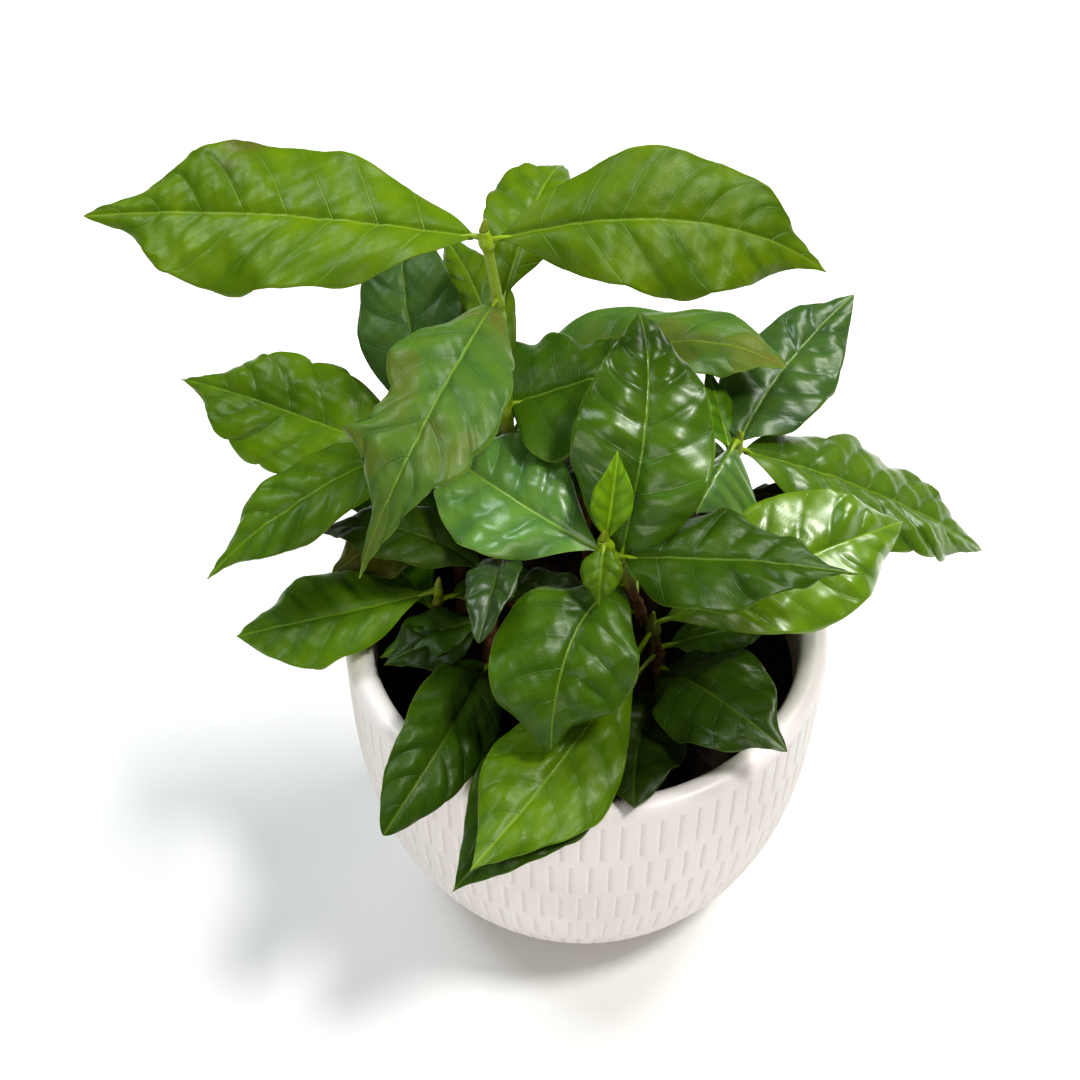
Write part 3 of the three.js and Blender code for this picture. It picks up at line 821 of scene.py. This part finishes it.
def glaze_material(settings):
    """Satin glaze, faintly cloudy, with painted shade in the pressed dashes, a painted highlight on the crest
    beside each dash and painted shade on the wall inside, above the soil.
    """
    material, tree, shader = new_material("satin_glaze")
    cloud = mottle(tree, 28)
    colour = layer(tree, cloud["Soft"], 0.5, solid(settings.glaze), solid(settings.glaze_mottle_and_painted_shade))
    # Painted shade in the pressed dashes, a painted highlight on the crest beside each dash, painted shade inside.
    layers = (("pressed", 0.45, solid(settings.glaze_mottle_and_painted_shade, 0.82)), ("crest", 0.9, solid(settings.glaze, 1.15)),
              ("dust", 0.9, solid(settings.dust)))
    for mask, share, tint in layers:
        amount = node(tree, "ShaderNodeAttribute", attribute_name=mask).outputs["Fac"]
        colour = layer(tree, amount, share, colour, tint)
    tree.links.new(colour, shader.inputs["Base Color"])
    roughen(tree, shader, cloud["Fine"], 0.38, 0.5)
    shader.inputs["Coat Weight"].default_value = 0.1
    shader.inputs["Coat Roughness"].default_value = 0.3
    bump(tree, shader, cloud["Fine"], 0.06, 0.0004)
    return material


def soil_material(settings):
    """Dark crumbly potting soil."""
    material, tree, shader = new_material("potting_soil")
    cloud = mottle(tree, 220)
    colour = blend(tree, cloud["Soft"], solid(settings.dark), solid(settings.light))
    tree.links.new(colour, shader.inputs["Base Color"])
    roughen(tree, shader, cloud["Fine"], 0.75, 0.98)
    shader.inputs["Specular IOR Level"].default_value = 0.2
    bump(tree, shader, cloud["Fine"], 0.8, 0.0012)
    return material


def stem_material(settings):
    """Green young wood that turns to cracked brown bark with age."""
    name = "stem_skin"
    if name in bpy.data.materials:
        return bpy.data.materials[name]
    material, tree, shader = new_material(name)
    cloud = mottle(tree, 180)
    place = node(tree, "ShaderNodeTexCoord").outputs["Object"]
    stretched = node(tree, "ShaderNodeMapping", {"Vector": place, "Scale": (1400, 1400, 260)}).outputs[0]
    crack = fade(tree, noise_texture(tree, stretched, 1.0, 4.0), 0.52, 0.38)
    age = node(tree, "ShaderNodeAttribute", attribute_name="age").outputs["Fac"]
    bark = blend(tree, crack, solid(settings.bark), solid(settings.bark_dark))
    bark = layer(tree, cloud["Soft"], 0.5, bark, solid(settings.bark, 1.5))
    green = layer(tree, cloud["Fine"], 0.4, solid(settings.green), solid(settings.green, 0.7))
    tree.links.new(blend(tree, age, green, bark), shader.inputs["Base Color"])
    roughen(tree, shader, age, 0.38, 0.8)
    bump(tree, shader, arithmetic(tree, "MULTIPLY", crack, age), 0.6, 0.0005)
    return material


def leaf_material(tint, colour, settings, under=False):
    """A glossy upper side or a matt underside of a blade in one tint."""
    material, tree, shader = new_material(("underside_" if under else "leaf_") + tint)
    veins = node(tree, "ShaderNodeGroup", {"Midrib": 0.04, "Vein": 0.06}, node_tree=vein_group()).outputs
    cloud = mottle(tree, 60)
    marks = node(tree, "ShaderNodeAttribute", attribute_name="marks")
    scorch = marks.outputs["Alpha"]
    tone, gloss, edge = node(tree, "ShaderNodeSeparateXYZ", {0: marks.outputs["Vector"]}).outputs
    share = 0.6 if tint == "young" else 0.35
    pale = solid([share * v + (1 - share) * c for v, c in zip(settings.vein, colour)])
    # Painted light and shade: lit and shaded copies of the leaf colour, picked by random patches and by the panels.
    shaded = solid([c * part for c, part in zip(colour, (0.66, 0.75, 0.8))])
    sunny = solid([c * part for c, part in zip(colour, (1.3, 1.16, 0.7))])
    patches = arithmetic(tree, "ADD", arithmetic(tree, "MULTIPLY", cloud["Soft"], 0.6),
                         arithmetic(tree, "MULTIPLY", veins["Panel"], 0.4))
    body = blend(tree, patches, shaded, sunny)
    body = layer(tree, cloud["Fine"], 0.2, body, solid(colour, 0.7))
    if tint in ("worn", "olive"):
        body = blend(tree, fade(tree, cloud["Soft"], 0.45, 0.95, 0.0, 0.35), body, solid(settings.scorch))
    visible = 0.6 if under or tint == "young" else 0.25
    for vein, strength in (("Network", 0.05), ("Veins", visible), ("Midrib", 0.7)):
        body = layer(tree, veins[vein], strength, body, pale)
    body = blend(tree, fade(tree, edge, 0.96, 1.0, 0.0, 0.5), body, pale)
    body = layer(tree, scorch, fade(tree, cloud["Fine"], 0.0, 0.6, 0.5, 1.0), body, solid(settings.scorch))
    # Scaled by the leaf's brightness mark: partly its own colour, partly painted light and shade.
    body = blend(tree, 1.0, body, tone, "MULTIPLY")
    tree.links.new(body, shader.inputs["Base Color"])
    if under or tint == "dried":
        roughen(tree, shader, cloud["Fine"], 0.5, 0.65)
        shader.inputs["Specular IOR Level"].default_value = 0.25
    else:
        polish = arithmetic(tree, "MULTIPLY", gloss, 0.2)
        rough = arithmetic(tree, "SUBTRACT", fade(tree, cloud["Fine"], 0.0, 1.0, 0.36, 0.46), polish)
        tree.links.new(rough, shader.inputs["Roughness"])
        tree.links.new(arithmetic(tree, "MULTIPLY", gloss, gloss), shader.inputs["Coat Weight"])
        shader.inputs["Specular IOR Level"].default_value = 0.16
        shader.inputs["Coat IOR"].default_value = 1.6
        shader.inputs["Coat Roughness"].default_value = 0.31
    raised = arithmetic(tree, "ADD", veins["Veins"], arithmetic(tree, "MULTIPLY", veins["Network"], 0.06))
    height = arithmetic(tree, "MULTIPLY", raised, 1.0 if under else -0.8)
    height = arithmetic(tree, "ADD", height, arithmetic(tree, "MULTIPLY", veins["Grain"], 0.5))
    bump(tree, shader, height, 0.5, 0.0005)
    return material


def floor_material(settings):
    """Pale matt floor that stays pale out to the horizon, where the lamps no longer reach."""
    material, tree, shader = new_material("studio_floor")
    shader.inputs["Base Color"].default_value = solid(settings.floor)
    shader.inputs["Roughness"].default_value = 0.9
    place = node(tree, "ShaderNodeTexCoord").outputs["Object"]
    away = node(tree, "ShaderNodeVectorMath", {0: place}, operation="LENGTH").outputs["Value"]
    seen = node(tree, "ShaderNodeLightPath").outputs["Is Camera Ray"]
    glow = layer(tree, fade(tree, away, 0.6, 2.0), seen, (0, 0, 0, 1), solid(settings.floor))
    tree.links.new(glow, shader.inputs["Emission Color"])
    shader.inputs["Emission Strength"].default_value = 1
    return material


# Operators

class COFFEE_OT_planter(bpy.types.Operator):
    """Round glazed planter with rows of pressed dashes under its lip"""

    bl_idname = "coffee.planter"
    bl_label = "Planter"

    def execute(self, context):
        settings = context.scene.coffee_planter
        depth = settings.dash_depth / MM
        pitch = 2 * math.pi / settings.dash_count
        turns = (np.arange(settings.dash_count)[:, None] + np.array(DASH_COLUMNS)).ravel() * pitch + FIRST_DASH
        radii, heights = planter_section(settings)

        def shape(column, line):
            pressed, _ = dash_relief(settings, turns[column], radii[line], heights[line])
            return turns[column], radii[line] - pressed * depth, heights[line]

        piece = turned_grid("planter", len(turns), len(radii), shape, glaze_material(settings))
        x, y, z = point_places(piece.data).T / MM
        radius = np.hypot(x, y)
        pressed, crest = dash_relief(settings, np.arctan2(y, x), radius, z)
        inner_wall = (radius < planter_radius(settings, z) - OUTER_SKIN) & (radius > INNER_WALL)
        under_lip = settings.height / MM - LIP_RADIUS + 0.5 - z
        # The depth of a dash also sets the painted shade in it.
        set_values(piece, "pressed", pressed)
        # The crest mask is where a highlight is painted on the glaze beside each dash.
        set_values(piece, "crest", crest)
        # Painted shade on the inner wall, fading in under the lip.
        set_values(piece, "dust", np.where(inner_wall, np.clip(under_lip / WALL_SHADE_FADE, 0, 1), 0))
        settle(piece, "glaze", "pot")
        return {"FINISHED"}


class COFFEE_OT_soil(bpy.types.Operator):
    """Uneven soil with loose crumbs"""

    bl_idname = "coffee.soil"
    bl_label = "Soil"

    def execute(self, context):
        settings = context.scene.coffee_soil
        planter = context.scene.coffee_planter
        unevenness = settings.roughness / MM

        def inner(z):
            return planter_radius(planter, z) - planter.wall / MM - 3 * GAP

        lows = np.linspace(FLOOR + GAP, SOIL_LEVEL - 1.2, 8)
        rings = np.linspace(1, 0.02, 46)
        radii = np.concatenate([[20], inner(lows), inner(SOIL_LEVEL) * rings])
        heights = np.concatenate([[FLOOR + GAP], lows, np.full(len(rings), SOIL_LEVEL)])

        def shape(column, line):
            turn = 2 * math.pi * column / SOIL_COLUMNS
            radius, height = radii[line], heights[line]
            rough = lumps(radius * np.cos(turn), radius * np.sin(turn)) * unevenness
            return turn, radius, np.where(line > len(lows), height + rough - SOIL_SINK, height)

        material = soil_material(settings)
        piece = turned_grid("soil_bed", SOIL_COLUMNS, len(radii), shape, material)
        settle(piece, "soil", "soil")

        bpy.ops.object.select_all(action="DESELECT")
        bpy.ops.mesh.primitive_ico_sphere_add(subdivisions=1, radius=1, location=(0, 0, 0))
        sample = context.object
        lump = np.array([vertex.co for vertex in sample.data.vertices])
        sides = np.array([face.vertices[:] for face in sample.data.polygons])
        bpy.data.objects.remove(sample)
        chance = np.random.default_rng(CRUMB_SEED)
        count = settings.crumbs
        turn = chance.random(count) * 2 * math.pi
        away = np.sqrt(chance.random(count)) * (inner(SOIL_LEVEL) - 2.5)
        x, y = away * np.cos(turn), away * np.sin(turn)
        size = 0.5 + 1.5 * chance.random(count) ** 3
        spin = np.linalg.qr(chance.normal(size=(count, 3, 3)))[0]
        spin *= np.sign(np.linalg.det(spin))[:, None, None]
        stretch = 0.6 + 0.6 * chance.random((count, 1, 3))
        knobs = 0.8 + 0.4 * chance.random((count, len(lump), 1))
        places = (lump[None] * stretch * knobs * size[:, None, None]) @ spin
        z = SOIL_LEVEL - SOIL_SINK + lumps(x, y) * unevenness + size * 0.35
        places += np.stack([x, y, z], -1)[:, None]
        faces = sides[None] + np.arange(count)[:, None, None] * len(lump)
        crumbs = new_piece("soil_crumbs", places.reshape(-1, 3), faces.reshape(-1, 3).tolist(), [material])
        settle(crumbs, "soil")
        return {"FINISHED"}


class COFFEE_OT_stems(bpy.types.Operator):
    """Bare stems with bark relief, from the soil to the lowest leaves"""

    bl_idname = "coffee.stems"
    bl_label = "Stems"

    def execute(self, context):
        settings = context.scene.coffee_stems
        material = stem_material(settings)
        for plant in SHOOTS:
            _, points, faces = stem_tube(plant, SOIL_LEVEL - 1.5, plant.bare, BARK_SPACING, BARK_SIDES,
                                         settings.node_swelling, settings.ridge)
            piece = new_piece(f"bark_{plant.name}", points, faces, [material])
            set_values(piece, "age", np.ones(len(points)))
            settle(piece, "bark", f"stem_{plant.name}")
        return {"FINISHED"}


class COFFEE_OT_twigs(bpy.types.Operator):
    """Upper stems, petioles and buds of each seedling"""

    bl_idname = "coffee.twigs"
    bl_label = "Twigs"

    def execute(self, context):
        settings = context.scene.coffee_stems
        material = stem_material(settings)
        for plant in SHOOTS:
            heights, *stem = stem_tube(plant, plant.bare + GAP, plant.top, TWIG_SPACING, TWIG_SIDES,
                                       settings.node_swelling, settings.ridge * 0.6)
            age = np.clip((plant.green - heights) / GREEN_FADE + 0.5, 0, 1)
            parts = [(*stem, np.repeat(age, TWIG_SIDES)), (*bud_tube(plant), 0.25)]
            for row in plant.leaves:
                parts.append((*petiole_tube(plant, row), 0.75 if row.tint == "dried" else 0.0))
            points, faces, ages = merge(parts)
            piece = new_piece(f"twigs_{plant.name}", points, faces, [material])
            set_values(piece, "age", ages)
            settle(piece, "bark", f"foliage_{plant.name}")
        return {"FINISHED"}


class COFFEE_OT_leaves(bpy.types.Operator):
    """Quilted blades with sunk veins, joined into one piece for each seedling"""

    bl_idname = "coffee.leaves"
    bl_label = "Leaves"

    def execute(self, context):
        settings = context.scene.coffee_leaves
        colours = {tint: getattr(settings, tint) for tint in TINTS}
        uppers = {tint: leaf_material(tint, colour, settings) for tint, colour in colours.items()}
        lowers = {tint: leaf_material(tint, [(a + b) / 2 for a, b in zip(colour, settings.under)], settings, True)
                  for tint, colour in colours.items()}
        slots = dict(tall="leaf_young", small="leaf_deep", back="leaf_deep")
        for number, plant in enumerate(SHOOTS):
            tints = sorted({row.tint for row in plant.leaves}, key=TINTS.index)
            materials = [group[tint] for tint in tints for group in (uppers, lowers)]
            tiles_aside = math.ceil(math.sqrt(2 * len(plant.leaves)))
            points, faces, veins, atlas, picks, marks, start = [], [], [], [], [], [], 0
            for place, row in enumerate(plant.leaves):
                blade = leaf_sheets(plant, row, settings, 100 * number + place)
                spot = 2 * place + blade.sheet
                corner = np.stack([spot % tiles_aside, spot // tiles_aside], -1)[:, None]
                points.append(blade.points)
                faces.append(blade.faces + start)
                veins.append(blade.veins)
                atlas.append((blade.tiles + corner) / tiles_aside)
                picks.append(2 * tints.index(row.tint) + blade.sheet)
                marks.append(blade.marks)
                start += len(blade.points)
            faces = np.concatenate(faces).tolist()
            piece = new_piece(f"leaves_{plant.name}", np.concatenate(points), faces, materials)
            mesh = piece.data
            mesh.polygons.foreach_set("material_index", np.concatenate(picks).astype(np.int32))
            for name, values in (("Veins", veins), ("OFBake", atlas)):
                uv_layer = mesh.uv_layers.new(name=name)
                uv_layer.data.foreach_set("uv", np.concatenate(values).astype(np.float32).ravel())
            kept = mesh.attributes.new("marks", "FLOAT_COLOR", "POINT")
            kept.data.foreach_set("color", np.concatenate(marks).astype(np.float32).ravel())
            settle(piece, slots.get(plant.name, "leaf_fresh"), f"foliage_{plant.name}")
        return {"FINISHED"}


def area_light(name, place, size, power, colour):
    """A round lamp that points at the plant."""
    light = bpy.data.lights.new(name, "AREA")
    light.shape = "DISK"
    light.size = size
    light.energy = power
    light.color = colour
    holder = bpy.data.objects.new(name, light)
    holder.location = place
    holder.rotation_euler = (Vector(LIGHT_TARGET) - Vector(place)).to_track_quat("-Z", "Y").to_euler()
    bpy.context.scene.collection.objects.link(holder)


class COFFEE_OT_stage(bpy.types.Operator):
    """Pale floor, soft lights and the camera"""

    bl_idname = "coffee.stage"
    bl_label = "Stage"

    def execute(self, context):
        settings = context.scene.coffee_stage
        bpy.ops.object.select_all(action="DESELECT")
        bpy.ops.mesh.primitive_plane_add(size=FLOOR_SIZE, location=(0, 0, 0))
        floor = context.object
        floor.name = "studio_floor"
        floor.data.materials.append(floor_material(settings))
        for name, place, size, colour in LIGHTS:
            area_light(name, place, size, getattr(settings, f"{name}_power"), colour)
        world = bpy.data.worlds.new("studio")
        world.use_nodes = True
        tree = world.node_tree
        backdrop = tree.nodes["Background"]
        backdrop.inputs["Color"].default_value = (1, 1, 1, 1)
        seen = node(tree, "ShaderNodeLightPath").outputs["Is Camera Ray"]
        tree.links.new(arithmetic(tree, "MAXIMUM", seen, settings.ambient), backdrop.inputs["Strength"])
        context.scene.world = world
        context.scene.view_settings.view_transform = "Standard"
        context.scene.view_settings.look = "Medium High Contrast"
        camera = bpy.data.cameras.new("photo_camera")
        camera.lens = CAMERA_LENS
        camera.sensor_width = CAMERA_SENSOR
        holder = bpy.data.objects.new("photo_camera", camera)
        holder.location = CAMERA_PLACE
        holder.rotation_euler = (CAMERA_TILT, 0, 0)
        context.scene.collection.objects.link(holder)
        context.scene.camera = holder
        return {"FINISHED"}


OPERATORS = (COFFEE_OT_stage, COFFEE_OT_planter, COFFEE_OT_soil, COFFEE_OT_stems, COFFEE_OT_twigs, COFFEE_OT_leaves)
SETTINGS = {
    "coffee_planter": PlanterSettings,
    "coffee_soil": SoilSettings,
    "coffee_stems": StemSettings,
    "coffee_leaves": LeafSettings,
    "coffee_stage": StageSettings,
}


class COFFEE_PT_panel(bpy.types.Panel):
    """Lists the steps that build the plant"""

    bl_idname = "COFFEE_PT_panel"
    bl_label = "Coffee plant"
    bl_space_type = "VIEW_3D"
    bl_region_type = "UI"
    bl_category = "Coffee plant"

    def draw(self, context):
        for step in OPERATORS:
            self.layout.operator(step.bl_idname)


def register():
    for kind in (*SETTINGS.values(), *OPERATORS, COFFEE_PT_panel):
        bpy.utils.register_class(kind)
    for name, kind in SETTINGS.items():
        setattr(bpy.types.Scene, name, PointerProperty(type=kind))


def unregister():
    for name in SETTINGS:
        delattr(bpy.types.Scene, name)
    for kind in (COFFEE_PT_panel, *reversed(OPERATORS), *reversed(SETTINGS.values())):
        bpy.utils.unregister_class(kind)


def main():
    register()
    bpy.ops.coffee.stage()
    bpy.ops.coffee.planter()
    bpy.ops.coffee.soil()
    bpy.ops.coffee.stems()
    bpy.ops.coffee.twigs()
    bpy.ops.coffee.leaves()


if __name__ == "__main__":
    main()
